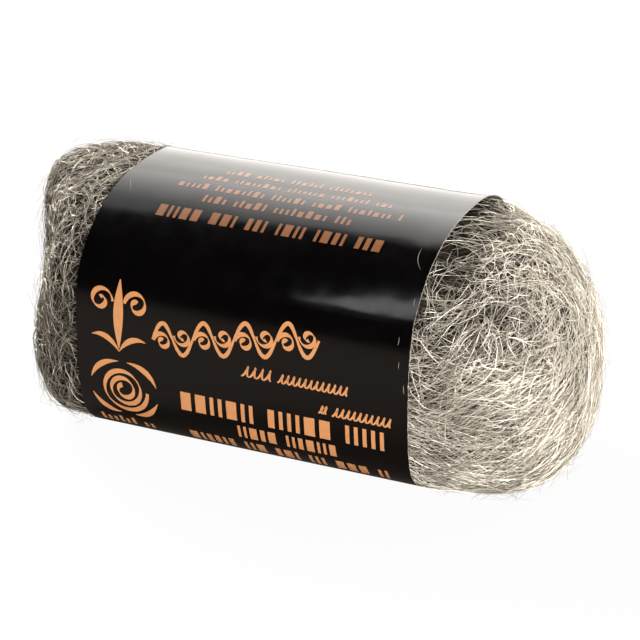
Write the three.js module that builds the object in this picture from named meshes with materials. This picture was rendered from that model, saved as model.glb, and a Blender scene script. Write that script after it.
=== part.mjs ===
// A roll of steel wool held by a glued paper band. Millimetres, +X along the roll, +Z up.
// The label's front faces -Y. The origin is the middle of the underside of the whole roll.

import * as THREE from 'three';

// Paper band
const BAND_LENGTH = 112;
const PAPER_THICKNESS = 0.25;
const LAP_ANGLE = -28;          // where the outer ply ends, low on the back
const LAP_SPAN = 20;            // degrees of doubled paper, about 15 mm
const BAND_CLEARANCE = 0.3;     // between the paper and the wool

// Section of the packed roll, as four quarter ovals about one centre
const FRONT_REACH = 50;
const BACK_REACH = 40;
const TOP_REACH = 42.4;
const BASE_REACH = 38.8;
const TOP_SQUARENESS = 2.4;
const FRONT_BASE_SQUARENESS = 4;
const BACK_BASE_SQUARENESS = 2.6;
const BASE_PRESSED = 0.8;       // how far the roll's own weight flattens the base

// The fold that runs along the label's upper front edge
const CREASE_ANGLE = 156;
const CREASE_HEIGHT = 1;
const CREASE_SPREAD = 12;

// Wool that stands out of the band. Reach is the length past the band on the longer side,
// slant is the share of it that is missing on the shorter side.
const LABEL_END = { side: 1, reach: 47, slant: 0.33, roundness: 2.5, waist: 0.96, droop: 6.5 };
const FAR_END = { side: -1, reach: 42, slant: 0.58, roundness: 4, waist: 0.99, droop: 1 };

const AROUND = 90;              // sides of every section
const END_RINGS = 11;           // rings from the band's edge to each pole
const DEGREE = Math.PI / 180;
const STEP = 360 / AROUND;

// Angles run from the back (+Y) over the top (+Z) to the front (-Y).
function sectionRadius(degrees) {
  const across = Math.cos(degrees * DEGREE);
  const upward = Math.sin(degrees * DEGREE);
  const isFront = across < 0;
  const isTop = upward > 0;
  const baseSquareness = isFront ? FRONT_BASE_SQUARENESS : BACK_BASE_SQUARENESS;
  const squareness = isTop ? TOP_SQUARENESS : baseSquareness;
  const width = Math.abs(across) / (isFront ? FRONT_REACH : BACK_REACH);
  const height = Math.abs(upward) / (isTop ? TOP_REACH : BASE_REACH);
  const oval = (width ** squareness + height ** squareness) ** (-1 / squareness);
  const fromCrease = Math.abs(degrees - CREASE_ANGLE);
  return oval + CREASE_HEIGHT * Math.exp(-fromCrease / CREASE_SPREAD);
}

// The paper's inner face, as 2-D points (across, up) about the section's centre
function sectionOutline() {
  const floor = BASE_PRESSED - BASE_REACH;
  return Array.from({ length: AROUND }, (_, index) => {
    const angle = index * STEP;
    const radius = sectionRadius(angle);
    const across = radius * Math.cos(angle * DEGREE);
    const upward = radius * Math.sin(angle * DEGREE);
    return new THREE.Vector2(across, Math.max(upward, floor));
  });
}

// Moves an anticlockwise outline outwards by distanceAt(index), square to its own surface
function offsetOutline(outline, distanceAt) {
  return outline.map((point, index) => {
    const before = outline[(index + AROUND - 1) % AROUND];
    const after = outline[(index + 1) % AROUND];
    const along = after.clone().sub(before).normalize();
    const outward = new THREE.Vector2(along.y, -along.x);
    return point.clone().addScaledVector(outward, distanceAt(index));
  });
}

// One strip of paper round the roll. Its glued lap is twice as thick: the inner ply's end
// lifts the outer one over a single step, and the outer ply stops square at the lap's edge.
function makePaperBand(inside) {
  const lapFirst = Math.round((360 + LAP_ANGLE) / STEP);
  const lapLast = lapFirst + Math.round(LAP_SPAN / STEP);
  const isLapped = (index) => index >= lapFirst && index <= lapLast;
  const single = offsetOutline(inside, () => PAPER_THICKNESS);
  const doubled = offsetOutline(inside, (index) => PAPER_THICKNESS * (isLapped(index) ? 2 : 1));
  doubled.splice(lapFirst, 0, single[lapFirst]);
  const strip = new THREE.Shape(doubled);
  strip.holes.push(new THREE.Path(inside));
  const geometry = new THREE.ExtrudeGeometry(strip, { depth: BAND_LENGTH, bevelEnabled: false });
  geometry.translate(0, 0, -BAND_LENGTH / 2);
  geometry.applyMatrix4(new THREE.Matrix4().makeBasis(
    new THREE.Vector3(0, 1, 0),
    new THREE.Vector3(0, 0, 1),
    new THREE.Vector3(1, 0, 0),
  ));
  return geometry;
}

// Rings of one end as [share of the section, share of the way to the pole]
function endRings(end) {
  return Array.from({ length: END_RINGS + 1 }, (_, ring) => {
    const toPole = Math.sin((ring / END_RINGS) * 90 * DEGREE);
    const dome = (1 - Math.min(toPole, 1) ** end.roundness) ** (1 / end.roundness);
    const gathered = 1 - (1 - end.waist) * Math.min(1, toPole * 3);
    return [ring === END_RINGS ? 0 : dome * gathered, toPole];
  });
}

// A lathe turns the rings, then each of its points is moved onto the roll's own section
function makeWool(inside) {
  const skin = offsetOutline(inside, () => -BAND_CLEARANCE);
  const floor = Math.min(...skin.map((point) => point.y));
  const middle = (BACK_REACH - FRONT_REACH) / 2;
  const halfWidth = (BACK_REACH + FRONT_REACH) / 2;
  const profile = [];
  endRings(FAR_END).reverse().forEach(([share, toPole]) => {
    profile.push(new THREE.Vector2(share, -1 - toPole));
  });
  endRings(LABEL_END).forEach(([share, toPole]) => {
    profile.push(new THREE.Vector2(share, 1 + toPole));
  });
  const geometry = new THREE.LatheGeometry(profile, AROUND);
  const points = geometry.getAttribute('position');
  for (let index = 0; index < points.count; index += 1) {
    const share = Math.hypot(points.getX(index), points.getZ(index));
    const turn = Math.atan2(points.getX(index), points.getZ(index)) / DEGREE;
    const side = skin[(Math.round(turn / STEP) + AROUND) % AROUND];
    const end = points.getY(index) > 0 ? LABEL_END : FAR_END;
    const toPole = Math.abs(points.getY(index)) - 1;
    const across = side.x * share;
    const upward = Math.max(side.y * share - end.droop * toPole, floor);
    const towardsShort = (1 + end.side * (across - middle) / halfWidth) / 2;
    const reach = end.reach * toPole * (1 - end.slant * towardsShort ** 2);
    points.setXYZ(index, end.side * (BAND_LENGTH / 2 + reach), across, upward);
  }
  geometry.computeVertexNormals();
  return geometry;
}

const coatedPaper = new THREE.MeshStandardMaterial({ color: '#141210', roughness: 0.25, metalness: 0 });
const steelWool = new THREE.MeshStandardMaterial({ color: '#b4aea2', roughness: 0.45, metalness: 0.9 });

const outline = sectionOutline();

const wool = new THREE.Mesh(makeWool(outline), steelWool);
wool.name = 'steel_wool_roll';

const band = new THREE.Mesh(makePaperBand(outline), coatedPaper);
band.name = 'paper_band';

const roll = new THREE.Group();
roll.add(wool, band);

const extent = new THREE.Box3().setFromObject(roll, true);
const centre = extent.getCenter(new THREE.Vector3());
roll.position.set(-centre.x, -centre.y, -extent.min.z);

export default roll;
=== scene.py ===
"""A roll of steel wool in a paper band: the wool's fibres, the printed band and the studio.

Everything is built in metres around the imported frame, +X along the roll, +Z up, label towards -Y.
"""

import math
import random
from bisect import bisect_right

import bmesh
import bpy
from bpy.props import FloatProperty
from bpy.props import FloatVectorProperty
from bpy.props import IntProperty
from bpy.props import PointerProperty
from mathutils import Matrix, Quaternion
from mathutils import Vector
from mathutils import noise
from mathutils.bvhtree import BVHTree


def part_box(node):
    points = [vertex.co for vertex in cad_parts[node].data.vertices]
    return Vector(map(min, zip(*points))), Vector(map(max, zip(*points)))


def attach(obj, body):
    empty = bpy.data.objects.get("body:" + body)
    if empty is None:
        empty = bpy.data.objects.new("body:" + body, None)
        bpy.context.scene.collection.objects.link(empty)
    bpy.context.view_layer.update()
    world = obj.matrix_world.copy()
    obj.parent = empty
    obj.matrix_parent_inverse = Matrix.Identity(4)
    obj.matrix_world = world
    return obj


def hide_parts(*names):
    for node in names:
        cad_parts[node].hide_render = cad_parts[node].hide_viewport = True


bl_info = {
    "name": "Banded Steel Wool Roll",
    "version": (1, 0, 0),
    "blender": (4, 5, 0),
    "location": "3D View > Sidebar > Steel Wool",
    "description": "Builds a roll of steel wool, its printed paper band and a plain studio",
    "category": "Object",
}

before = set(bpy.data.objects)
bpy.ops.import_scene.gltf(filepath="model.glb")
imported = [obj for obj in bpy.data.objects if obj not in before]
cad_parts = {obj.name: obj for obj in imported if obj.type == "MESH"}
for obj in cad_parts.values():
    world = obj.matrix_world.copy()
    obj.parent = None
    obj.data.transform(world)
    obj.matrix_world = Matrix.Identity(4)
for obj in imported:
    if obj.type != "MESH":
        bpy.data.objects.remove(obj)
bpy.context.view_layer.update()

MM = 0.001
WOOL_NODE = "steel_wool_roll"
BAND_NODE = "paper_band"

# The frame's own places
band_low, band_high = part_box(BAND_NODE)
BAND_MIDDLE = (band_low.x + band_high.x) / 2
BAND_HALF = (band_high.x - band_low.x) / 2
SECTION_BEHIND_FRONT = 50.39 * MM
SECTION_ABOVE_FLOOR = 38.25 * MM
SECTION_Y = band_low.y + SECTION_BEHIND_FRONT
SECTION_Z = band_low.z + SECTION_ABOVE_FLOOR

# Degrees round the section, from the back over the top: sample step, fold, and the lap's outer ply
SECTION_STEP = 4
FOLD_ANGLE = 156
LAP_START = -28
LAP_SPAN = 20
LAP_RAMP = 4

# How far the paper is drawn in where it lies on the floor, and the gap between the lap's two plies
FLOOR_GAP = 0.05 * MM
PLY_GAP = 0.02 * MM

# Length of one row of the paper's mesh round the roll, and its columns along the roll
BAND_ROW = 1.2 * MM
BAND_COLUMNS = 56


def linear(hex_colour):
    """An sRGB hex colour as linear red, green and blue."""
    values = [int(hex_colour[place:place + 2], 16) / 255 for place in (1, 3, 5)]
    return [v / 12.92 if v <= 0.04045 else ((v + 0.055) / 1.055) ** 2.4 for v in values]


def smooth_step(low, high, value):
    """0 below low, 1 above high, eased in between."""
    share = min(max((value - low) / (high - low), 0.0), 1.0)
    return share * share * (3 - 2 * share)


# ---------------------------------------------------------------- settings


class WoolSettings(bpy.types.PropertyGroup):
    """Sizes, amounts and colours of the steel wool."""

    fibre_width: FloatProperty(
        name="Fibre width",
        description="Width of one shaved ribbon, drawn coarser than the real 0.1 mm so that it shows",
        default=0.19 * MM,
        unit="LENGTH",
    )
    fibre_step: FloatProperty(
        name="Fibre step",
        description="Length of one straight stretch of a long fibre",
        default=5.4 * MM,
        unit="LENGTH",
    )
    curl_step: FloatProperty(
        name="Curl step",
        description="Length of one straight stretch of a curled fibre",
        default=2.1 * MM,
        unit="LENGTH",
    )
    label_end_fibres: IntProperty(
        name="Label end fibres",
        description="Fibres on the longer, rounder end",
        default=15800,
    )
    far_end_fibres: IntProperty(
        name="Far end fibres",
        description="Fibres on the shorter, squarer end",
        default=10000,
    )
    stray_hairs: IntProperty(
        name="Stray hairs",
        description="Thin hairs that stand out of the wool",
        default=1900,
    )
    seed: IntProperty(
        name="Seed",
        description="Start of the random numbers",
        default=7,
    )
    fibre_colour: FloatVectorProperty(
        name="Fibre colour",
        description="Freshly shaved mild steel",
        default=linear("#E8E0D1"),
        subtype="COLOR",
    )
    shade_colour: FloatVectorProperty(
        name="Shade colour",
        description="Wool deep in the roll, where little light reaches",
        default=linear("#4A4136"),
        subtype="COLOR",
    )


class BandSettings(bpy.types.PropertyGroup):
    """Sizes and colours of the printed paper band."""

    paper_thickness: FloatProperty(
        name="Paper thickness",
        description="Thickness of the coated label paper",
        default=0.25 * MM,
        unit="LENGTH",
    )
    ripple: FloatProperty(
        name="Ripple",
        description="How far the paper swells over the uneven wool",
        default=0.14 * MM,
        unit="LENGTH",
    )
    edge_lift: FloatProperty(
        name="Edge lift",
        description="How far the paper's edge stands off the wool at the top",
        default=0.2 * MM,
        unit="LENGTH",
    )
    ground_colour: FloatVectorProperty(
        name="Ground colour",
        description="Black printed all over the coated side",
        default=linear("#040303"),
        subtype="COLOR",
    )
    ink_colour: FloatVectorProperty(
        name="Ink colour",
        description="Orange spot colour of the print",
        default=linear("#BA7F50"),
        subtype="COLOR",
    )
    # The same orange ink on the upper face, painted darker and browner as shade
    upper_face_shaded_ink_colour: FloatVectorProperty(
        name="Back ink colour",
        description="Thinner, browner orange of the small print on the upper face",
        default=linear("#784D30"),
        subtype="COLOR",
    )
    core_colour: FloatVectorProperty(
        name="Core colour",
        description="Bare paper at cut edges and scuffs",
        default=linear("#958C7E"),
        subtype="COLOR",
    )


class StudioSettings(bpy.types.PropertyGroup):
    """The camera and the lights."""

    azimuth: FloatProperty(
        name="Azimuth",
        description="Camera's turn about the vertical, from looking along +Y",
        default=math.radians(24.85),
        subtype="ANGLE",
    )
    elevation: FloatProperty(
        name="Elevation",
        description="Camera's height angle",
        default=math.radians(23.5),
        subtype="ANGLE",
    )
    distance: FloatProperty(
        name="Distance",
        description="Camera's distance from the point that it looks at",
        default=0.679,
        unit="LENGTH",
    )
    lens: FloatProperty(
        name="Lens",
        description="Focal length on a 36 mm sensor, in millimetres",
        default=120.9,
    )


# ---------------------------------------------------------------- shading


def new_material(name):
    """A named node material, and its tree and Principled shader."""
    material = bpy.data.materials.new(name)
    material.use_nodes = True
    return material, material.node_tree, material.node_tree.nodes["Principled BSDF"]


def add_node(tree, kind, inputs=None, **settings):
    """Adds one node. Each input is a value, or an output socket to link from."""
    node = tree.nodes.new(kind)
    for name, value in settings.items():
        setattr(node, name, value)
    for name, value in (inputs or {}).items():
        if isinstance(value, bpy.types.NodeSocket):
            tree.links.new(value, node.inputs[name])
        else:
            node.inputs[name].default_value = value
    return node


def mottled(name, full, low_share, span, detail, roughness):
    """A material whose colour drifts between full and a darker share of it, over a span."""
    material, tree, shader = new_material(name)
    place = add_node(tree, "ShaderNodeTexCoord")
    drift = add_node(tree, "ShaderNodeTexNoise", {
        "Vector": place.outputs["Object"],
        "Scale": 1 / span,
        "Detail": detail,
    })
    low = [value * low_share for value in full]
    colour = add_node(tree, "ShaderNodeMix", {
        "Factor": drift.outputs["Fac"],
        "A": [*low, 1.0],
        "B": [*full, 1.0],
    }, data_type="RGBA")
    tree.links.new(colour.outputs["Result"], shader.inputs["Base Color"])
    shader.inputs["Roughness"].default_value = roughness
    return material, shader


# Wool painted darker as shade is painted browner too: the powers of its brightness in red, green and blue
SHADE_WARMTH = (1.0, 1.05, 1.13)


def shaved_steel(name, share, roughness):
    """Mild steel shaved into ribbons: bright faceted metal, with duller stretches every 20 mm or so; a
    share below 1 makes a copy painted darker and browner as shade.
    """
    wool = bpy.context.scene.steel_wool
    bright = [value * share ** warmth for value, warmth in zip(wool.fibre_colour, SHADE_WARMTH)]
    material, shader = mottled(name, bright, 0.72, 20 * MM, 3.0, roughness)
    shader.inputs["Metallic"].default_value = 0.75
    return material


def packed_wool():
    """The wool below the loose fibres: painted dark as the shade deep in the roll, with the faint streaks
    of deeper ones, 0.8 mm apart.
    """
    wool = bpy.context.scene.steel_wool
    material, tree, shader = new_material("packed_steel_wool_shade")
    place = add_node(tree, "ShaderNodeTexCoord")
    turned = add_node(tree, "ShaderNodeMapping", {
        "Vector": place.outputs["Object"],
        "Scale": (0.12, 1.0, 1.0),
    })
    streaks = add_node(tree, "ShaderNodeTexNoise", {
        "Vector": turned.outputs["Vector"],
        "Scale": 1 / (0.8 * MM),
        "Detail": 4.0,
        "Distortion": 1.5,
    })
    strands = add_node(tree, "ShaderNodeMapRange", {
        "Value": streaks.outputs["Fac"],
        "From Min": 0.54,
        "From Max": 0.66,
    })
    shade = [value * 0.1 for value in wool.shade_colour]
    colour = add_node(tree, "ShaderNodeMix", {
        "Factor": strands.outputs["Result"],
        "A": [*shade, 1.0],
        "B": [*wool.shade_colour, 1.0],
    }, data_type="RGBA")
    tree.links.new(colour.outputs["Result"], shader.inputs["Base Color"])
    shader.inputs["Roughness"].default_value = 0.9
    shader.inputs["Specular IOR Level"].default_value = 0.1
    return material


def coated_paper():
    """Gloss-coated label paper printed black: a hard smooth coat, so it mirrors the studio.

    Its gloss is mottled every 9 mm, its grain runs lengthwise 1.5 mm apart with an orange peel of
    1.6 mm, and the cut edge of the label end is rubbed bare by up to a fifth of a millimetre.
    """
    band = bpy.context.scene.paper_band
    material, tree, shader = new_material("gloss_coated_black_label_paper")
    place = add_node(tree, "ShaderNodeTexCoord")
    mottle = add_node(tree, "ShaderNodeTexNoise", {
        "Vector": place.outputs["Object"],
        "Scale": 1 / (9 * MM),
        "Detail": 4.0,
    })
    fibres = add_node(tree, "ShaderNodeTexNoise", {
        "Vector": place.outputs["Object"],
        "Scale": 1 / (1.6 * MM),
        "Detail": 3.0,
    })
    dark = [value * 0.6 for value in band.ground_colour]
    ground = add_node(tree, "ShaderNodeMix", {
        "Factor": mottle.outputs["Fac"],
        "A": [*dark, 1.0],
        "B": [*band.ground_colour, 1.0],
    }, data_type="RGBA")
    apart = add_node(tree, "ShaderNodeSeparateXYZ", {"Vector": place.outputs["Object"]})
    from_edge = add_node(tree, "ShaderNodeMath", {
        0: band_high.x,
        1: apart.outputs["X"],
    }, operation="SUBTRACT")
    chipped = add_node(tree, "ShaderNodeMath", {
        0: fibres.outputs["Fac"],
        1: 0.6 * MM,
        2: -0.26 * MM,
    }, operation="MULTIPLY_ADD")
    worn = add_node(tree, "ShaderNodeMath", {
        0: from_edge.outputs["Value"],
        1: chipped.outputs["Value"],
    }, operation="LESS_THAN")
    colour = add_node(tree, "ShaderNodeMix", {
        "Factor": worn.outputs["Value"],
        "A": ground.outputs["Result"],
        "B": [*band.core_colour, 1.0],
    }, data_type="RGBA")
    gloss = add_node(tree, "ShaderNodeMapRange", {
        "Value": mottle.outputs["Fac"],
        "From Min": 0.3,
        "From Max": 0.7,
        "To Min": 0.10,
        "To Max": 0.17,
    })
    drawn = add_node(tree, "ShaderNodeMapping", {
        "Vector": place.outputs["Object"],
        "Scale": (0.1, 1.0, 1.0),
    })
    grain = add_node(tree, "ShaderNodeTexNoise", {
        "Vector": drawn.outputs["Vector"],
        "Scale": 1 / (1.5 * MM),
        "Detail": 3.0,
    })
    lengthwise = add_node(tree, "ShaderNodeBump", {
        "Height": grain.outputs["Fac"],
        "Strength": 0.35,
        "Distance": 0.03 * MM,
    })
    peel = add_node(tree, "ShaderNodeBump", {
        "Height": fibres.outputs["Fac"],
        "Strength": 0.10,
        "Distance": 0.05 * MM,
        "Normal": lengthwise.outputs["Normal"],
    })
    tree.links.new(colour.outputs["Result"], shader.inputs["Base Color"])
    tree.links.new(gloss.outputs["Result"], shader.inputs["Roughness"])
    tree.links.new(peel.outputs["Normal"], shader.inputs["Normal"])
    shader.inputs["Specular IOR Level"].default_value = 0.45
    return material


def printing_ink(name, full):
    """Flat orange litho ink under the same varnish, a little uneven where it took to the paper."""
    material, _ = mottled(name, full, 0.82, 2.5 * MM, 4.0, 0.2)
    return material


def bare_paper():
    """Uncoated wood-pulp paper where it was cut: matt, its specks of pulp drawn coarse, 0.7 mm apart."""
    band = bpy.context.scene.paper_band
    material, _ = mottled("bare_pulp_paper", band.core_colour, 0.55, 0.7 * MM, 3.0, 0.85)
    return material


# How much of the floor the camera sees as an even white of its own
FLOOR_GLOW = 0.96


def seamless_paper():
    """The studio's matt white paper: even white to the eye, and a dim tone where gloss mirrors it."""
    material, tree, shader = new_material("white_seamless_paper")
    rays = add_node(tree, "ShaderNodeLightPath")
    place = add_node(tree, "ShaderNodeTexCoord")
    apart = add_node(tree, "ShaderNodeSeparateXYZ", {"Vector": place.outputs["Object"]})
    in_front = add_node(tree, "ShaderNodeMapRange", {
        "Value": apart.outputs["Y"],
        "From Min": 0.12,
        "From Max": 0.0,
    })
    mirrored = add_node(tree, "ShaderNodeMix", {
        "Factor": in_front.outputs["Result"],
        "A": [*linear("#FFFFFF"), 1.0],
        "B": [*linear("#6A5F56"), 1.0],
    }, data_type="RGBA")
    tone = add_node(tree, "ShaderNodeMix", {
        "Factor": rays.outputs["Is Glossy Ray"],
        "A": [*linear("#B4B4B2"), 1.0],
        "B": mirrored.outputs["Result"],
    }, data_type="RGBA")
    tree.links.new(tone.outputs["Result"], shader.inputs["Base Color"])
    shader.inputs["Roughness"].default_value = 0.9
    glow = add_node(tree, "ShaderNodeEmission", {"Color": (1, 1, 1, 1), "Strength": 1.0})
    share = add_node(tree, "ShaderNodeMath", {
        0: rays.outputs["Is Camera Ray"],
        1: FLOOR_GLOW,
    }, operation="MULTIPLY")
    seen = add_node(tree, "ShaderNodeMixShader", {
        0: share.outputs["Value"],
        1: shader.outputs["BSDF"],
        2: glow.outputs["Emission"],
    })
    tree.links.new(seen.outputs["Shader"], tree.nodes["Material Output"].inputs["Surface"])
    return material


# ---------------------------------------------------------------- shared building


def link_piece(name, mesh, node):
    """Puts a finished mesh in the scene as a piece that stands for a frame node."""
    piece = bpy.data.objects.new(name, mesh)
    bpy.context.scene.collection.objects.link(piece)
    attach(piece, "root")
    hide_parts(node)
    return piece


def finished_mesh(shape, name, materials):
    """Turns a working shape into a named mesh with its materials, and frees the shape."""
    mesh = bpy.data.meshes.new(name)
    shape.to_mesh(mesh)
    shape.free()
    for material in materials:
        mesh.materials.append(material)
    return mesh


def solid_tree(node):
    """A search tree over a frame node's faces."""
    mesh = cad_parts[node].data
    points = [vertex.co.copy() for vertex in mesh.vertices]
    faces = [tuple(face.vertices) for face in mesh.polygons]
    return BVHTree.FromPolygons(points, faces)


class BandSection:
    """The paper's inner face, read from the frame, with a fold line kept sharp."""

    def __init__(self):
        tree = solid_tree(BAND_NODE)
        centre = Vector((BAND_MIDDLE, SECTION_Y, SECTION_Z))
        self.radii = []
        for degrees in range(0, 360, SECTION_STEP):
            angle = math.radians(degrees)
            outward = Vector((0, math.cos(angle), math.sin(angle)))
            _, _, _, distance = tree.ray_cast(centre, outward)
            self.radii.append(distance)
        self.fold = FOLD_ANGLE // SECTION_STEP
        self.angles = [quarter / 4 for quarter in range(0, 360 * 4 + 1)]
        places = [self.point(angle) for angle in self.angles]
        self.lengths = [0.0]
        for before, after in zip(places, places[1:]):
            self.lengths.append(self.lengths[-1] + (after - before).length)
        self.round = self.lengths[-1]
        self.fold_length = self.lengths[FOLD_ANGLE * 4]

    def slope(self, index, towards):
        """Change of radius per step at a sample, one-sided at the fold."""
        count = len(self.radii)
        here = self.radii[index % count]
        after = self.radii[(index + 1) % count]
        before = self.radii[(index - 1) % count]
        if index % count == self.fold:
            return after - here if towards > 0 else here - before
        return (after - before) / 2

    def radius(self, degrees):
        """Radius at any angle, by cubic steps between the samples."""
        place = (degrees % 360) / SECTION_STEP
        index = int(place)
        share = place - index
        start = self.radii[index % len(self.radii)]
        end = self.radii[(index + 1) % len(self.radii)]
        leave = self.slope(index, 1)
        arrive = self.slope(index + 1, -1)
        square = share * share
        cube = square * share
        return (
            start * (2 * cube - 3 * square + 1)
            + leave * (cube - 2 * square + share)
            + end * (3 * square - 2 * cube)
            + arrive * (cube - square)
        )

    def point(self, degrees):
        """Place on the section, as a vector in the plane across the roll."""
        angle = math.radians(degrees)
        radius = self.radius(degrees)
        return Vector((0, SECTION_Y + radius * math.cos(angle), SECTION_Z + radius * math.sin(angle)))

    def outward(self, degrees):
        """The surface's own outward direction."""
        along = self.point(degrees + 0.5) - self.point(degrees - 0.5)
        return Vector((0, along.z, -along.y)).normalized()

    def angle_at(self, below_fold):
        """The angle that lies a distance round from the fold, positive towards the front."""
        length = (self.fold_length + below_fold) % self.round
        turns = math.floor((self.fold_length + below_fold) / self.round)
        index = min(bisect_right(self.lengths, length), len(self.lengths) - 1)
        before = self.lengths[index - 1]
        share = (length - before) / (self.lengths[index] - before)
        return self.angles[index - 1] + share * 0.25 + 360 * turns

    def length_at(self, degrees):
        """The distance round from the fold to an angle, which may be past a full turn."""
        turns = math.floor(degrees / 360)
        place = (degrees - 360 * turns) * 4
        index = min(int(place), len(self.lengths) - 2)
        step = self.lengths[index + 1] - self.lengths[index]
        return self.lengths[index] + (place - index) * step + turns * self.round - self.fold_length


# Swells of the paper over the wool: share, length along the roll, length round it, offset
PAPER_SWELLS = (
    (1.0, 34 * MM, 26 * MM, 3.1),
    (0.35, 11 * MM, 13 * MM, 8.7),
    (0.14, 5 * MM, 7 * MM, 1.3),
)


def band_point(section, along, below_fold, height):
    """A place on the wrapped paper: along the roll, round it from the fold, and above its inner face."""
    band = bpy.context.scene.paper_band
    degrees = section.angle_at(below_fold)
    outward = section.outward(degrees)
    swell = 0.0
    for share, wide, round_it, offset in PAPER_SWELLS:
        swell += share * noise.noise(Vector((along / wide, below_fold / round_it, offset)))
    off_floor = smooth_step(-0.95, -0.3, outward.z)
    near_edge = smooth_step(BAND_HALF - 9 * MM, BAND_HALF, along)
    upper = smooth_step(0.1, 0.8, outward.z)
    lift = band.edge_lift * near_edge * upper
    lap = smooth_step(LAP_START + LAP_SPAN + LAP_RAMP, LAP_START + LAP_SPAN, degrees)
    height += lap * (band.paper_thickness + PLY_GAP)
    height += off_floor * (band.ripple * swell + lift)
    height -= (1 - off_floor) * FLOOR_GAP
    return section.point(degrees) + Vector((BAND_MIDDLE + along, 0, 0)) + outward * height


# ---------------------------------------------------------------- the paper band


class STEELWOOL_OT_paper_band(bpy.types.Operator):
    """Wraps one printed strip of paper round the roll, with a glued lap low on the back"""

    bl_idname = "steelwool.paper_band"
    bl_label = "Paper Band"

    def execute(self, context):
        settings = context.scene.paper_band
        section = BandSection()
        first = round(section.length_at(LAP_START) / BAND_ROW)
        last = round(section.length_at(LAP_START + LAP_SPAN + 360 + 1) / BAND_ROW)
        strip = bmesh.new()
        bmesh.ops.create_grid(strip, x_segments=BAND_COLUMNS, y_segments=last - first, size=1.0)
        fold = set()
        for vertex in strip.verts:
            along = vertex.co.x * BAND_HALF
            share = (vertex.co.y + 1) / 2
            below_fold = (first + share * (last - first)) * BAND_ROW
            vertex.co = band_point(section, along, below_fold, 0.0)
            if abs(below_fold) < BAND_ROW / 4:
                fold.add(vertex)
        for edge in strip.edges:
            edge.smooth = not (edge.is_boundary or fold.issuperset(edge.verts))
        bmesh.ops.recalc_face_normals(strip, faces=strip.faces)
        middle = min(strip.faces, key=lambda face: face.calc_center_median().y)
        if middle.normal.y > 0:
            bmesh.ops.reverse_faces(strip, faces=strip.faces)
        for face in strip.faces:
            face.smooth = True
        mesh = finished_mesh(strip, "wrapped_label_band", (coated_paper(), bare_paper()))
        piece = link_piece("wrapped_label_band", mesh, BAND_NODE)
        wall = piece.modifiers.new("paper thickness", "SOLIDIFY")
        wall.thickness = settings.paper_thickness
        wall.offset = 1.0
        wall.material_offset = 1
        wall.material_offset_rim = 1
        return {"FINISHED"}


# ---------------------------------------------------------------- the print

# Rows of plain blocks: start and end along the band, top below the fold, height, kind
BLOCK_ROWS = (
    (-20, 51, 34.6, 6.4, "bold"),
    (-1, 32, 42.8, 4.6, "bold"),
    (-19, 50, 49.6, 4.8, "bold"),
    (-51, -31, 49.8, 4.0, "fine"),
    (-37, 39, -26.2, 4.8, "bold"),
    (-25, 26, -33.8, 3.6, "fine"),
    (-36.5, 39.5, -39.8, 3.4, "fine"),
    (-31, 33.5, -45.8, 3.2, "fine"),
    (-25.7, 26, -51.8, 3.2, "fine"),
)
# Rows of a running pen line: start, end, middle below the fold, height
PEN_ROWS = (
    (2, 12, 23.2, 3.6),
    (14, 37, 23.4, 3.0),
    (27.5, 30, 31.0, 2.6),
    (32, 51, 31.0, 3.0),
)
# Fine scuffs through the coat, most of them by the label end's edge: start, middle, end, width
SCUFFS = (
    ((50.6, -26.0), (49.8, -21.0), (53.2, -17.6), 0.14),
    ((54.4, -8.4), (54.2, -7.0), (54.8, -5.8), 0.16),
    ((52.0, 3.4), (52.2, 4.6), (51.9, 6.0), 0.14),
    ((52.8, 10.8), (52.6, 12.0), (52.8, 13.0), 0.14),
    ((54.6, 17.5), (54.4, 19.0), (54.7, 20.6), 0.16),
    ((-53.7, -37.5), (-52.0, -33.4), (-49.5, -29.3), 0.1),
)
# The title's ornament: its middle along the band, and its border's start, end, height and bends
ORNAMENT_MIDDLE = -41.0
BORDER = ((-29.0, 18.6), (27.0, 9.0), 10.6, 8)
# The wound coil: its middle, and one side's strands about it as start, bend and end
COIL_MIDDLE = (-40.0, 38.0)
COIL_STRANDS = (
    ((1.5, 9.6), (9.0, 9.2), (11.5, 2.6)),
    ((2.5, -9.4), (8.0, -9.6), (11.5, -3.0)),
)
# Where the flat print is cut so that it bends well: round the roll, then along it, in millimetres
PRINT_CUTS = (
    ((0, 1, 0), range(-54, 60, 2)),
    ((1, 0, 0), range(-54, 55, 4)),
)
# Where the ink's sheet is laid over the paper, and its thickness as drawn
INK_HEIGHT = 0.02 * MM
INK_THICKNESS = 0.03 * MM
PRINT_SEED = 11


def add_outline(shape, points):
    """Fills one outline of (along, below fold) places in millimetres."""
    shape.faces.new([shape.verts.new((x * MM, y * MM, 0)) for x, y in points])


def add_stroke(shape, path, widths):
    """A pen stroke of changing width along a path of places in millimetres."""
    sides = []
    for index, (x, y) in enumerate(path):
        before = path[max(index - 1, 0)]
        after = path[min(index + 1, len(path) - 1)]
        run = Vector((after[0] - before[0], after[1] - before[1])).normalized()
        half = widths[index] / 2
        sides.append([
            shape.verts.new(((x - run.y * half) * MM, (y + run.x * half) * MM, 0)),
            shape.verts.new(((x + run.y * half) * MM, (y - run.x * half) * MM, 0)),
        ])
    for (a, b), (c, d) in zip(sides, sides[1:]):
        shape.faces.new((a, b, d, c))


def add_blocks(shape, row, numbers):
    """One row of plain blocks of mixed widths, in groups with a wider gap between them."""
    start, end, top, height, kind = row
    fine = kind == "fine"
    gap = height * (0.3 if fine else 0.24)
    place = start
    in_group = numbers.randint(4, 7)
    while place < end - height * 0.3:
        width = height * numbers.choice((0.25, 0.25, 0.5) if fine else (0.2, 0.2, 0.34, 0.55))
        width = min(width, end - place)
        low = top + height * (numbers.choice((0.0, 0.28, 0.28)) if fine else 0.0)
        add_outline(shape, (
            (place, low),
            (place, top + height),
            (place + width, top + height),
            (place + width, low),
        ))
        place += width + gap
        in_group -= 1
        if in_group == 0:
            place += height * 0.55
            in_group = numbers.randint(3, 8)


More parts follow.
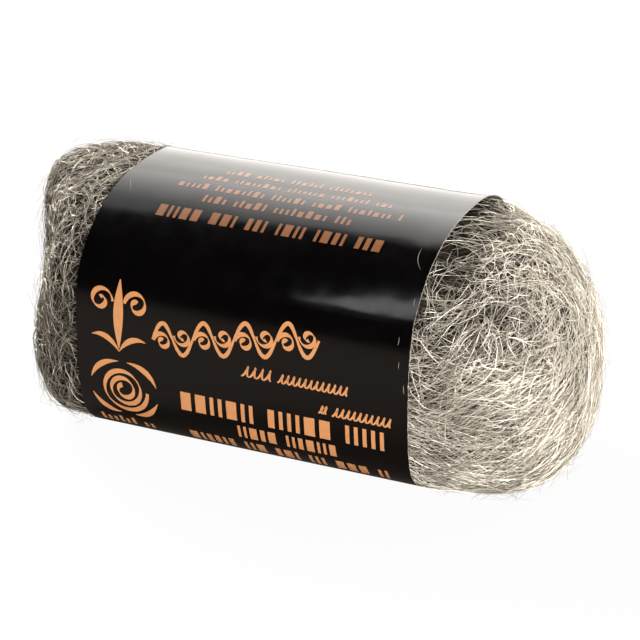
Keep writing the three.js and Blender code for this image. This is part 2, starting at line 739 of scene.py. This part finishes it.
def add_pen_row(shape, row):
    """A running pen line of slanted loops that spells nothing."""
    start, end, middle, height = row
    period = height * 0.62
    count = max(2, round((end - start) / period))
    steps = count * 12
    path = []
    widths = []
    for step in range(steps + 1):
        share = step / steps
        turn = share * count * 2 * math.pi
        rise = math.cos(turn) * height / 2
        slant = rise * -0.35
        loop = math.sin(turn) * 0.22 * period
        path.append((start + share * (end - start) + slant + loop, middle + rise))
        widths.append(0.45 + 0.3 * abs(math.sin(turn)))
    add_stroke(shape, path, widths)


def add_scroll(shape, centre, radius, turns, start, hand, width):
    """A volute: a pen stroke that winds in and swells at its middle."""
    steps = round(34 * turns)
    path = []
    widths = []
    for step in range(steps + 1):
        share = step / steps
        reach = radius * (1 - 0.8 * share)
        angle = start + hand * turns * 2 * math.pi * share
        path.append((centre[0] + reach * math.cos(angle), centre[1] + reach * math.sin(angle)))
        widths.append(width * (0.22 + 0.78 * abs(math.sin(angle - start + 0.6)) ** 1.4))
    add_stroke(shape, path, widths)


def add_leaf(shape, start, middle, end, width):
    """A stroke that swells from a fine point and closes to a fine point along an easy bend."""
    path = []
    widths = []
    for step in range(17):
        t = step / 16
        x = start[0] * (1 - t) ** 2 + 2 * middle[0] * t * (1 - t) + end[0] * t * t
        y = start[1] * (1 - t) ** 2 + 2 * middle[1] * t * (1 - t) + end[1] * t * t
        path.append((x, y))
        widths.append(width * (0.08 + 0.92 * math.sin(math.pi * t)))
    add_stroke(shape, path, widths)


def add_scroll_border(shape, start, end, height, bends):
    """A stem that swings from side to side between two places, with a scroll wound in each bend."""
    slope = (end[1] - start[1]) / (end[0] - start[0])
    pitch = (end[0] - start[0]) / bends
    path = []
    widths = []
    for step in range(bends * 12 + 1):
        swing = math.sin(step / 12 * math.pi)
        along = pitch * step / 12
        path.append((start[0] + along, start[1] + along * slope - swing * height / 2))
        widths.append(0.7 + 0.7 * abs(swing))
    add_stroke(shape, path, widths)
    for bend in range(bends):
        side = 1 if bend % 2 == 0 else -1
        along = pitch * (bend + 0.5)
        centre = (start[0] + along, start[1] + along * slope + side * height * 0.07)
        add_scroll(shape, centre, pitch * 0.43, 1.3, math.pi, side, 1.5)


class STEELWOOL_OT_label_print(bpy.types.Operator):
    """Lays the band's orange print as plain blocks, pen lines, scrolls and a wound coil"""

    bl_idname = "steelwool.label_print"
    bl_label = "Label Print"

    def execute(self, context):
        settings = context.scene.paper_band
        section = BandSection()
        numbers = random.Random(PRINT_SEED)
        shape = bmesh.new()
        for row in BLOCK_ROWS:
            add_blocks(shape, row, numbers)
        for row in PEN_ROWS:
            add_pen_row(shape, row)
        self.add_title(shape)
        self.add_coil(shape)
        for face in shape.faces:
            # Print above the fold, on the upper face, takes the ink painted darker as shade
            face.material_index = 1 if face.calc_center_median().y < 0 else 0
        for start, middle, end, width in SCUFFS:
            printed = set(shape.faces)
            add_leaf(shape, start, middle, end, width)
            for face in set(shape.faces) - printed:
                face.material_index = 2
        self.wrap(shape, section, settings)
        mesh = finished_mesh(shape, "label_print", (
            printing_ink("orange_litho_ink", settings.ink_colour),
            printing_ink("shaded_orange_litho_ink", settings.upper_face_shaded_ink_colour),
            bare_paper(),
        ))
        link_piece("label_print", mesh, BAND_NODE)
        return {"FINISHED"}

    def add_title(self, shape):
        """A tall upright leaf between two scrolls, then a rising border of scrolls on one stem."""
        middle = ORNAMENT_MIDDLE
        add_leaf(shape, (middle, 1.5), (middle, 12.0), (middle, 24.0), 3.4)
        for side in (-1, 1):
            start = 0.0 if side < 0 else math.pi
            add_scroll(shape, (middle + side * 6.3, 8.8), 4.2, 1.3, start, side, 1.7)
            add_leaf(shape, (middle, 25.0), (middle + side * 4.0, 18.5), (middle + side * 9.5, 20.5), 1.9)
        add_scroll_border(shape, *BORDER)

    def add_coil(self, shape):
        """A wound coil between four mirrored strands, as a sign for wool on a roll."""
        across, down = COIL_MIDDLE
        add_scroll(shape, COIL_MIDDLE, 8.2, 2.7, 0.0, 1, 1.7)
        for side in (-1, 1):
            for strand in COIL_STRANDS:
                add_leaf(shape, *[(across + side * x, down - y) for x, y in strand], 1.9)

    def wrap(self, shape, section, settings):
        """Cuts the flat print finely, bends it onto the paper and gives it the ink's thickness."""
        bmesh.ops.triangulate(shape, faces=shape.faces)
        for direction, places in PRINT_CUTS:
            for step in places:
                everything = shape.verts[:] + shape.edges[:] + shape.faces[:]
                middle = Vector(direction) * step * MM
                bmesh.ops.bisect_plane(shape, geom=everything, plane_co=middle, plane_no=direction)
        for vertex in shape.verts:
            above = settings.paper_thickness + INK_HEIGHT
            vertex.co = band_point(section, vertex.co.x, vertex.co.y, above)
        bmesh.ops.recalc_face_normals(shape, faces=shape.faces)
        for face in shape.faces:
            out = face.calc_center_median() - Vector((face.calc_center_median().x, SECTION_Y, SECTION_Z))
            if face.normal.dot(out) < 0:
                face.normal_flip()
        bmesh.ops.solidify(shape, geom=shape.faces[:], thickness=-INK_THICKNESS)
        bmesh.ops.recalc_face_normals(shape, faces=shape.faces)


# ---------------------------------------------------------------- the wool


# Soft dents of the far end, or swells where the depth is negative, in millimetres:
# beyond the band, behind its front, above the floor, reach, depth
FAR_END_DENTS = (
    (24.0, 18.5, 54.0, 13.0, 5.2),
    (22.0, 13.5, 24.0, 14.0, -1.6),
    (31.0, 46.0, 73.0, 12.0, -3.4),
)

# The squarer end: spread of directions, share of curled fibres, brightness of its steel, painted darker
# as shade, and its fineness
FAR_END_SCATTER = 1.4
FAR_END_CURLED = 0.85
FAR_END_SHADE_BRIGHTNESS = 0.55
FAR_END_FINENESS = 0.88

# Axes that the fibres run round: the label end's fold, and end-on at the far end
FOLD_AXIS = {1: (-0.02, -0.62, 0.78), -1: (-1.0, 0.15, 0.1)}

# Curled and long fibres: least and greatest length in millimetres, curl a step, pull to the run
CURLED_FIBRE = (7, 15, 0.42, 0.07)
LONG_FIBRE = (14, 34, 0.11, 0.22)
FIBRE_WIDTHS = (0.7, 0.85, 1.0, 1.15)

# Spread of the fibres of one tuft: in place and height in millimetres, and in direction
TUFT_SPREAD = 2.4
TUFT_UNEVEN = 0.25
TUFT_DRIFT = 0.2
# Share of tufts left out where the wool is thinnest: in the layers up to a height, and above it
THIN_LIFT = -0.6 * MM
THIN_BELOW = 0.7
THIN_ABOVE = 0.95

# Lowest place of a fibre's middle over the floor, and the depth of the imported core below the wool's
# skin: under the paper, and the extra at the bare ends
LOWEST_FIBRE = 0.2 * MM
CORE_DEPTH = 0.9 * MM
CORE_BARE_DEPTH = 0.5 * MM

# Length of one straight stretch of a stray hair, and how near to the paper a hair may come
HAIR_STEP = 1.9 * MM
HAIR_MARGIN = 1.5 * MM

# Layers of fibres: name, share of all, lift off the surface, width, and mix of bright steel and of copies
# painted darker as half and deep shade, with more shaded copies in the deeper layers
FIBRE_LAYERS = (
    ("inner", 0.17, -1.7 * MM, 1.0, (0, 0, 10)),
    ("lower", 0.28, -1.2 * MM, 1.0, (0, 1, 9)),
    ("upper", 0.29, -0.6 * MM, 1.0, (3, 2, 5)),
    ("outer", 0.26, 0.1 * MM, 1.05, (8, 2, 0)),
)
# Brightness of the bright steel and of its copies painted darker as half and deep shade
FIBRE_SHADES = {"bright": 1.0, "painted_half_shade": 0.5, "painted_deep_shade": 0.1}
FIBRE_ROUGHNESS = 0.6


class WoolEnd:
    """One bare end of the roll: its surface, where fibres start on it, and how they run."""

    def __init__(self, side):
        self.side = side
        self.edge = BAND_MIDDLE + side * BAND_HALF
        self.middle = Vector((self.edge, SECTION_Y, SECTION_Z))
        self.axis = Vector(FOLD_AXIS[side]).normalized()
        self.tree = solid_tree(WOOL_NODE)
        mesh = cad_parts[WOOL_NODE].data
        self.corners = []
        self.sums = []
        total = 0.0
        for face in mesh.polygons:
            if self.past(face.center) < -3 * MM:
                continue
            total += face.area
            self.corners.append([mesh.vertices[index].co.copy() for index in face.vertices])
            self.sums.append(total)

    def past(self, spot):
        """How far a place lies outside the band's edge."""
        return (spot.x - self.edge) * self.side

    def start(self, numbers):
        """A random place on the end, evenly over its surface."""
        pick = bisect_right(self.sums, numbers.random() * self.sums[-1])
        a, b, c = self.corners[min(pick, len(self.corners) - 1)][:3]
        s = numbers.random()
        t = numbers.random()
        if s + t > 1:
            s = 1 - s
            t = 1 - t
        return a + (b - a) * s + (c - a) * t

    def run(self, spot, normal):
        """The way most fibres run at a place: round the end's fold, wandering from tuft to tuft."""
        along = self.axis.cross(spot - self.middle)
        along -= normal * along.dot(normal)
        if along.length < 1e-5:
            return normal.orthogonal()
        along.normalize()
        wander = noise.noise(spot / (13 * MM)) * 0.9
        along.rotate(Quaternion(normal, wander))
        return along

    def scatter(self, spot):
        """How widely directions differ at a place: most at the eye of the fold and near the top."""
        arm = spot - self.middle
        if self.side < 0:
            return FAR_END_SCATTER
        off_axis = (arm - self.axis * arm.dot(self.axis)).length
        eye = math.exp(-(off_axis / (20 * MM)) ** 2)
        top = smooth_step(-4 * MM, 26 * MM, arm.z)
        return 0.20 + 0.25 * top + 0.9 * eye

    def curliness(self, spot):
        """The share of curled fibres at a place."""
        if self.side < 0:
            return FAR_END_CURLED
        return 0.15 + 0.55 * smooth_step(-8 * MM, 22 * MM, spot.z - self.middle.z)

    def sparse(self, spot, normal):
        """How thin the wool is at a place: most beside the paper's edge at the top of the label end."""
        if self.side < 0:
            return 0.0
        beside = smooth_step(17 * MM, 4 * MM, self.past(spot))
        return beside * smooth_step(0.35, 0.7, normal.z) * smooth_step(0.5, 0.1, normal.y)

    def hollow(self, spot, normal):
        """How far the wool sinks at a place: beside the paper's edge at the top, and in soft dents."""
        past = self.past(spot)
        lumps = noise.noise(spot / (15 * MM) + Vector((4.0, 0.0, 9.0))) * 0.9 * MM
        sink = smooth_step(0.0, 6 * MM, past) * lumps
        if self.side > 0:
            return sink + self.sparse(spot, normal) * 4.2 * MM
        for along, across, above, reach, depth in FAR_END_DENTS:
            centre = Vector((self.edge - along * MM, band_low.y + across * MM, above * MM))
            sink += depth * MM * math.exp(-((spot - centre).length / (reach * MM)) ** 2)
        return sink


def fibre_path(end, numbers, root, drift, sign, length, step, lift, curl, steer):
    """The points of one fibre, laid over the end's surface from its root."""
    count = max(4, round(length / step))
    place = root
    heading = None
    turn = numbers.gauss(0, curl)
    bow = numbers.uniform(-0.2, 0.8) * MM
    wander = 0.045 * step / MM
    points = []
    for index in range(count + 1):
        spot, normal, _, _ = end.tree.find_nearest(place)
        along = end.run(spot, normal)
        along.rotate(Quaternion(normal, drift))
        if heading is None:
            heading = along * sign
        if along.dot(heading) < 0:
            along.negate()
        heading = heading.lerp(along, steer)
        heading.rotate(Quaternion(normal, turn + numbers.gauss(0, wander)))
        heading -= normal * heading.dot(normal)
        heading.normalize()
        share = index / count
        arch = bow * 4 * share * (1 - share)
        tuck = 0.8 * MM * (abs(2 * share - 1) ** 3)
        ceiling = -0.15 * MM + 0.9 * max(end.past(spot), 0.0)
        height = min(lift + arch - tuck, ceiling) - end.hollow(spot, normal)
        point = spot + normal * height
        point.z = max(point.z, LOWEST_FIBRE)
        points.append(point)
        place = spot + heading * step
    return points


def ribbon_section():
    """The three-sided section of a shaved ribbon, one unit across."""
    data = bpy.data.curves.new("ribbon_section", "CURVE")
    data.dimensions = "2D"
    line = data.splines.new("POLY")
    line.points.add(2)
    for index in range(3):
        angle = math.radians(90 - 120 * index)
        line.points[index].co = (0.58 * math.cos(angle), 0.4 * math.sin(angle), 0, 1)
    line.use_cyclic_u = True
    section = bpy.data.objects.new("ribbon_section", data)
    bpy.context.scene.collection.objects.link(section)
    return section


def ribbons(name, paths, materials, numbers):
    """Turns paths of (points, width, material) into one mesh of closed, twisted ribbons."""
    section = ribbon_section()
    data = bpy.data.curves.new(name, "CURVE")
    data.dimensions = "3D"
    data.bevel_mode = "OBJECT"
    data.bevel_object = section
    data.use_fill_caps = True
    data.twist_mode = "MINIMUM"
    for material in materials:
        data.materials.append(material)
    for points, width, index in paths:
        line = data.splines.new("POLY")
        line.points.add(len(points) - 1)
        line.material_index = index
        line.use_smooth = False
        line.points.foreach_set("co", [value for point in points for value in (*point, 1.0)])
        tilt = numbers.uniform(0, 2 * math.pi)
        twist = numbers.gauss(0, 0.5)
        line.points.foreach_set("tilt", [tilt + twist * place for place in range(len(points))])
        last = len(points) - 1
        from_tip = [min(1, 3 * min(place, last - place) / last) for place in range(last + 1)]
        line.points.foreach_set("radius", [width * (0.45 + 0.55 * full) for full in from_tip])
    maker = bpy.data.objects.new(name, data)
    bpy.context.scene.collection.objects.link(maker)
    depsgraph = bpy.context.evaluated_depsgraph_get()
    mesh = bpy.data.meshes.new_from_object(maker.evaluated_get(depsgraph))
    mesh.name = name
    bpy.data.objects.remove(maker)
    bpy.data.objects.remove(section)
    closed = bmesh.new()
    closed.from_mesh(mesh)
    bmesh.ops.remove_doubles(closed, verts=closed.verts, dist=0.0001 * MM)
    bmesh.ops.recalc_face_normals(closed, faces=closed.faces)
    closed.to_mesh(mesh)
    closed.free()
    return link_piece(name, mesh, WOOL_NODE)


def tuft(end, numbers, lift, width):
    """A few fibres that lie side by side, as (points, width) pairs."""
    settings = bpy.context.scene.steel_wool
    root = end.start(numbers)
    _, normal, _, _ = end.tree.find_nearest(root)
    thin = end.sparse(root, normal)
    if numbers.random() < thin * (THIN_ABOVE if lift > THIN_LIFT else THIN_BELOW):
        return []
    curled = numbers.random() < end.curliness(root)
    drift = numbers.gauss(0, end.scatter(root))
    sign = numbers.choice((-1, 1))
    step = settings.curl_step if curled else settings.fibre_step
    shortest, longest, curl, steer = CURLED_FIBRE if curled else LONG_FIBRE
    made = []
    for _ in range(numbers.randint(1, 2 if curled else 4)):
        place = root + Vector([numbers.gauss(0, TUFT_SPREAD) * MM for _ in range(3)])
        own_drift = drift + numbers.gauss(0, TUFT_DRIFT)
        height = lift + numbers.gauss(0, TUFT_UNEVEN) * MM
        length = numbers.uniform(shortest, longest) * MM
        points = fibre_path(end, numbers, place, own_drift, sign, length, step, height, curl, steer)
        made.append((points, width * settings.fibre_width * numbers.choice(FIBRE_WIDTHS)))
    return made


def build_end(side, name, amount, seed):
    """Lays one end's fibres in layers, each layer a piece of its own."""
    numbers = random.Random(seed)
    end = WoolEnd(side)
    # The far end's steel is painted darker and browner as shade
    brightness = 1.0 if side > 0 else FAR_END_SHADE_BRIGHTNESS
    fineness = 1.0 if side > 0 else FAR_END_FINENESS
    materials = [
        shaved_steel(f"{name}_{tone}_shaved_steel", share * brightness, FIBRE_ROUGHNESS)
        for tone, share in FIBRE_SHADES.items()
    ]
    for layer, share, lift, width, mix in FIBRE_LAYERS:
        paths = []
        while len(paths) < amount * share:
            index = numbers.choices((0, 1, 2), mix)[0]
            made = tuft(end, numbers, lift, width * fineness)
            paths.extend((points, across, index) for points, across in made)
        ribbons(f"{name}_{layer}_fibres", paths, materials, numbers)


class STEELWOOL_OT_packed_core(bpy.types.Operator):
    """Builds the dense wool that fills the roll below its loose fibres, painted dark as shade"""

    bl_idname = "steelwool.packed_core"
    bl_label = "Packed Core"

    def execute(self, context):
        shape = bmesh.new()
        shape.from_mesh(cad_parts[WOOL_NODE].data)
        bmesh.ops.remove_doubles(shape, verts=shape.verts, dist=0.001 * MM)
        ends = {side: WoolEnd(side) for side in (-1, 1)}
        shape.normal_update()
        for vertex in shape.verts:
            end = ends[1 if vertex.co.x > BAND_MIDDLE else -1]
            bare = smooth_step(0, 3 * MM, end.past(vertex.co))
            sink = end.hollow(vertex.co, vertex.normal)
            vertex.co -= vertex.normal * (CORE_DEPTH + bare * CORE_BARE_DEPTH + sink)
        for face in shape.faces:
            face.smooth = True
        mesh = finished_mesh(shape, "packed_wool_core", (packed_wool(),))
        link_piece("packed_wool_core", mesh, WOOL_NODE)
        return {"FINISHED"}


class STEELWOOL_OT_label_end(bpy.types.Operator):
    """Lays the fibres of the longer, rounder end"""

    bl_idname = "steelwool.label_end"
    bl_label = "Label End Fibres"

    def execute(self, context):
        settings = context.scene.steel_wool
        build_end(1, "label_end", settings.label_end_fibres, settings.seed)
        return {"FINISHED"}


class STEELWOOL_OT_far_end(bpy.types.Operator):
    """Lays the fibres of the shorter, squarer end"""

    bl_idname = "steelwool.far_end"
    bl_label = "Far End Fibres"

    def execute(self, context):
        settings = context.scene.steel_wool
        build_end(-1, "far_end", settings.far_end_fibres, settings.seed + 1)
        return {"FINISHED"}


class STEELWOOL_OT_stray_hairs(bpy.types.Operator):
    """Adds the thin hairs that stand out of both ends"""

    bl_idname = "steelwool.stray_hairs"
    bl_label = "Stray Hairs"

    def execute(self, context):
        settings = context.scene.steel_wool
        numbers = random.Random(settings.seed + 2)
        ends = [WoolEnd(-1), WoolEnd(1)]
        paths = []
        for index in range(settings.stray_hairs):
            end = ends[index % 2]
            points = self.hair(end, numbers)
            if len(points) < 4:
                continue
            paths.append((points, settings.fibre_width * numbers.uniform(0.25, 0.5), 0))
        steel = shaved_steel("stray_hair_shaved_steel", 0.6, 0.35)
        ribbons("stray_hairs", paths, [steel], numbers)
        return {"FINISHED"}

    def hair(self, end, numbers):
        """One hair that leaves the surface, bends and comes part of the way back."""
        place = end.start(numbers)
        while end.past(place) < 3 * MM:
            place = end.start(numbers)
        spot, normal, _, _ = end.tree.find_nearest(place)
        heading = end.run(spot, normal)
        heading.rotate(Quaternion(normal, numbers.gauss(0, 0.9)))
        heading *= numbers.choice((-1, 1))
        rise = numbers.uniform(0.12, 0.6)
        heading = (heading + normal * rise).normalized()
        bend_axis = heading.cross(normal).normalized()
        turn = -rise * numbers.uniform(0.15, 0.45)
        point = spot - normal * (0.5 * MM + end.hollow(spot, normal))
        points = [point.copy()]
        for _ in range(numbers.randint(4, 8)):
            point = point + heading * HAIR_STEP
            if end.past(point) < HAIR_MARGIN:
                break
            point.z = max(point.z, LOWEST_FIBRE)
            points.append(point.copy())
            heading.rotate(Quaternion(bend_axis, turn))
            heading.rotate(Quaternion(normal, numbers.gauss(0, 0.16)))
        return points


# ---------------------------------------------------------------- the studio


# The point that most lights face, and each light: name, place, aim, size, watts, turn in its plane
ROLL_MIDDLE = (0, 0, 40 * MM)
LIGHTS = (
    ("overhead_strip", (-0.357, 0.49, 0.60), (-0.357, 0.49, 0.0), (1.1, 0.6), 2.3, 50.4),
    ("top_softbox", (0.38, 0.34, 0.62), ROLL_MIDDLE, (0.4, 0.4), 1.0, 0),
    ("far_softbox", (-0.60, 0.28, 0.42), ROLL_MIDDLE, (0.3, 0.3), 14, 0),
    ("side_softbox", (0.66, -0.56, 0.24), ROLL_MIDDLE, (0.9, 0.36), 19.5, 0),
    ("front_card", (-0.052, -0.204, 0.29), (0.047, -0.039, 0.065), (0.032, 0.14), 0.042, 0),
)
# What the camera looks at: beyond the band's middle, behind its front, above the floor
CAMERA_AIM = (9.05 * MM, 40.15 * MM, 38.5 * MM)


class STEELWOOL_OT_studio(bpy.types.Operator):
    """Sets the white floor, the soft lights and the camera"""

    bl_idname = "steelwool.studio"
    bl_label = "Studio"

    def execute(self, context):
        scene = context.scene
        scene.view_settings.view_transform = "Standard"
        self.add_floor(scene)
        self.add_world(scene)
        for light in LIGHTS:
            self.add_light(scene, *light)
        self.add_camera(scene)
        return {"FINISHED"}

    def add_floor(self, scene):
        """A round floor of seamless paper, 12 m across."""
        shape = bmesh.new()
        bmesh.ops.create_circle(shape, cap_ends=True, segments=96, radius=6.0)
        mesh = finished_mesh(shape, "studio_floor", (seamless_paper(),))
        floor = bpy.data.objects.new("studio_floor", mesh)
        scene.collection.objects.link(floor)

    def add_world(self, scene):
        """White behind the roll and dim in front, and plain white to the camera."""
        world = bpy.data.worlds.new("studio_world")
        scene.world = world
        world.use_nodes = True
        tree = world.node_tree
        tree.nodes.clear()
        place = add_node(tree, "ShaderNodeTexCoord")
        apart = add_node(tree, "ShaderNodeSeparateXYZ", {"Vector": place.outputs["Generated"]})
        glow = add_node(tree, "ShaderNodeMapRange", {
            "Value": apart.outputs["Y"],
            "From Min": 0.3,
            "From Max": 0.85,
            "To Min": 0.02,
            "To Max": 4.0,
        })
        dim = add_node(tree, "ShaderNodeBackground", {
            "Color": [*linear("#E9E5E0"), 1.0],
            "Strength": glow.outputs["Result"],
        })
        white = add_node(tree, "ShaderNodeBackground", {"Color": (1, 1, 1, 1), "Strength": 1.0})
        rays = add_node(tree, "ShaderNodeLightPath")
        choice = add_node(tree, "ShaderNodeMixShader", {
            0: rays.outputs["Is Camera Ray"],
            1: dim.outputs["Background"],
            2: white.outputs["Background"],
        })
        add_node(tree, "ShaderNodeOutputWorld", {"Surface": choice.outputs["Shader"]})

    def add_light(self, scene, name, place, aim, size, power, turn):
        """One rectangular softbox, turned in its own plane by some degrees."""
        data = bpy.data.lights.new(name, "AREA")
        data.shape = "RECTANGLE"
        data.size = size[0]
        data.size_y = size[1]
        data.energy = power
        light = bpy.data.objects.new(name, data)
        light.location = place
        facing = (Vector(aim) - Vector(place)).to_track_quat("-Z", "Y")
        light.rotation_euler = (facing @ Quaternion((0, 0, 1), math.radians(turn))).to_euler()
        scene.collection.objects.link(light)

    def add_camera(self, scene):
        """A long lens a little above the roll, turned towards its longer end."""
        studio = scene.steel_wool_studio
        turn = studio.azimuth
        tip = studio.elevation
        back = Vector((
            math.sin(turn) * math.cos(tip),
            -math.cos(turn) * math.cos(tip),
            math.sin(tip),
        ))
        beyond, behind, above = CAMERA_AIM
        aim = Vector((BAND_MIDDLE + beyond, band_low.y + behind, band_low.z + above))
        data = bpy.data.cameras.new("camera")
        data.lens = studio.lens
        data.clip_start = 0.01
        camera = bpy.data.objects.new("camera", data)
        camera.location = aim + back * studio.distance
        camera.rotation_euler = back.to_track_quat("Z", "Y").to_euler()
        scene.collection.objects.link(camera)
        scene.camera = camera


class STEELWOOL_PT_sidebar(bpy.types.Panel):
    """Lists the settings and the builders"""

    bl_idname = "STEELWOOL_PT_sidebar"
    bl_label = "Steel Wool Roll"
    bl_space_type = "VIEW_3D"
    bl_region_type = "UI"
    bl_category = "Steel Wool"

    def draw(self, context):
        layout = self.layout
        for settings in (
            context.scene.steel_wool,
            context.scene.paper_band,
            context.scene.steel_wool_studio,
        ):
            for name in settings.__annotations__:
                layout.prop(settings, name)
        for builder in BUILDERS:
            layout.operator(builder.bl_idname)


BUILDERS = (
    STEELWOOL_OT_studio,
    STEELWOOL_OT_packed_core,
    STEELWOOL_OT_paper_band,
    STEELWOOL_OT_label_print,
    STEELWOOL_OT_label_end,
    STEELWOOL_OT_far_end,
    STEELWOOL_OT_stray_hairs,
)
SETTINGS = (WoolSettings, BandSettings, StudioSettings)


def register():
    """Registers the settings, the builders and the sidebar."""
    for group in (*SETTINGS, *BUILDERS, STEELWOOL_PT_sidebar):
        bpy.utils.register_class(group)
    bpy.types.Scene.steel_wool = PointerProperty(type=WoolSettings)
    bpy.types.Scene.paper_band = PointerProperty(type=BandSettings)
    bpy.types.Scene.steel_wool_studio = PointerProperty(type=StudioSettings)


def unregister():
    """Takes everything that register added away again."""
    del bpy.types.Scene.steel_wool_studio
    del bpy.types.Scene.paper_band
    del bpy.types.Scene.steel_wool
    for group in reversed((*SETTINGS, *BUILDERS, STEELWOOL_PT_sidebar)):
        bpy.utils.unregister_class(group)


def main():
    """Builds everything in order."""
    register()
    bpy.ops.steelwool.studio()
    bpy.ops.steelwool.packed_core()
    bpy.ops.steelwool.paper_band()
    bpy.ops.steelwool.label_print()
    bpy.ops.steelwool.label_end()
    bpy.ops.steelwool.far_end()
    bpy.ops.steelwool.stray_hairs()
    bpy.context.view_layer.update()


if __name__ == "__main__":
    main()
